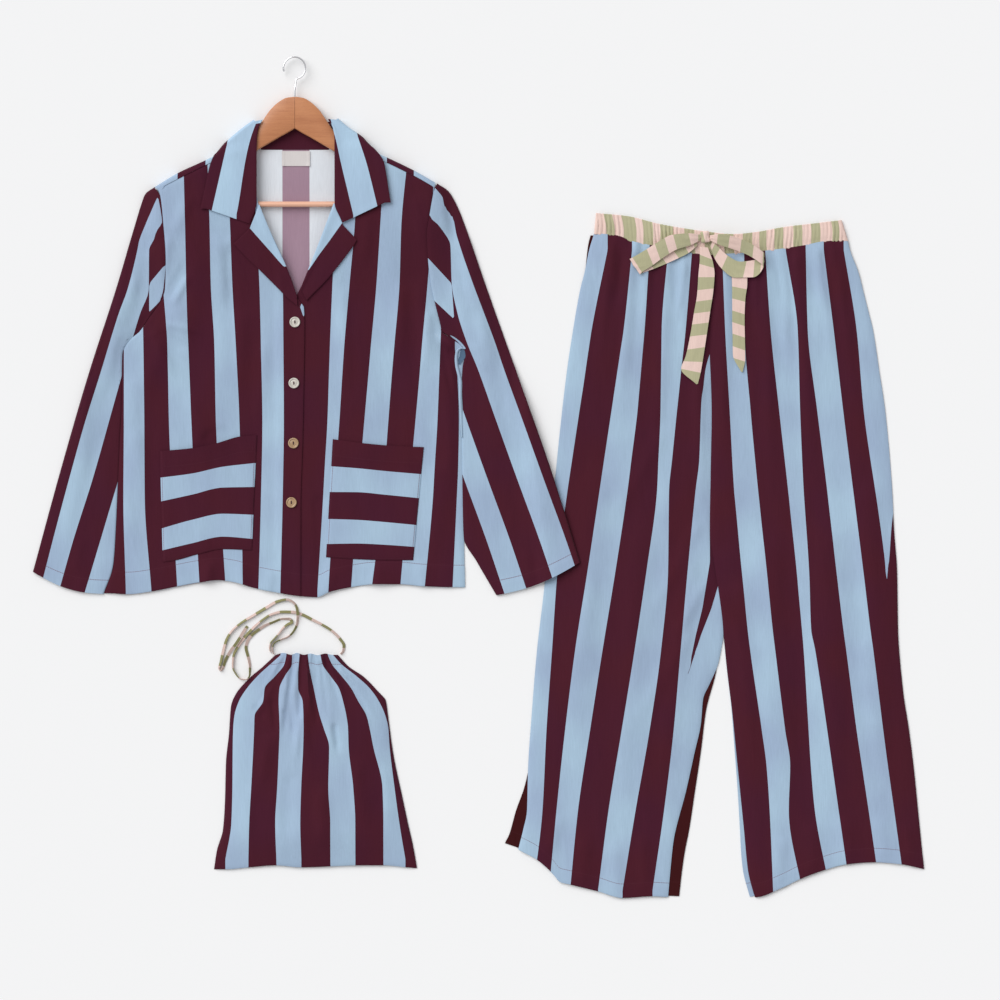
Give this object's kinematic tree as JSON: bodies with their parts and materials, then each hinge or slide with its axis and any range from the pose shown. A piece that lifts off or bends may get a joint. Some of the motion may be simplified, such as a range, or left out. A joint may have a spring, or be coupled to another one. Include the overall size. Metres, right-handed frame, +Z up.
{
  "type": "striped pyjama set laid flat, shirt on a wooden hanger",
  "caption": "Striped notched-collar pyjama shirt on a wooden hanger, wide trousers with a tied waist and a small drawstring bag, laid flat side by side.",
  "frame": {"origin": "middle of the set's bounding box, on the surface that it lies on", "axes": "+Z up from the surface, +Y from the hems towards the necks, +X across the set from the shirt towards the trousers"},
  "size_m": [1.3365, 1.2617, 0.0229],
  "materials": {
    "striped_cotton": "matt woven cotton, pale blue and burgundy stripes",
    "tie_cotton": "matt woven cotton, narrow pink and sage stripes",
    "label_cloth": "plain woven label",
    "button_pearl": "pearly shell, satin",
    "hanger_wood": "clear satin lacquer",
    "hook_steel": "bright plated wire"
  },
  "bodies": {
    "root": {"shirt_back": "striped_cotton", "shirt_front_left": "striped_cotton", "shirt_front_right": "striped_cotton", "shirt_sleeve_left": "striped_cotton", "shirt_sleeve_right": "striped_cotton", "shirt_collar": "striped_cotton", "shirt_lapel_left": "striped_cotton", "shirt_lapel_right": "striped_cotton", "shirt_pocket_left": "striped_cotton", "shirt_pocket_right": "striped_cotton", "shirt_button_1": "button_pearl", "shirt_button_2": "button_pearl", "shirt_button_3": "button_pearl", "shirt_button_4": "button_pearl", "shirt_neck_label": "label_cloth", "hanger_arm_left": "hanger_wood", "hanger_arm_right": "hanger_wood", "hanger_bar": "hanger_wood", "hanger_hook": "hook_steel", "trousers_front_left": "striped_cotton", "trousers_front_right": "striped_cotton", "trousers_back_left": "striped_cotton", "trousers_back_right": "striped_cotton", "trousers_waistband": "tie_cotton", "trousers_tie_knot": "tie_cotton", "trousers_tie_loop_left": "tie_cotton", "trousers_tie_loop_right": "tie_cotton", "trousers_tie_tail_left": "tie_cotton", "trousers_tie_tail_right": "tie_cotton", "bag_front": "striped_cotton", "bag_back": "striped_cotton", "bag_drawstring_long": "tie_cotton", "bag_drawstring_loop": "tie_cotton"}
  },
  "joints": []
}
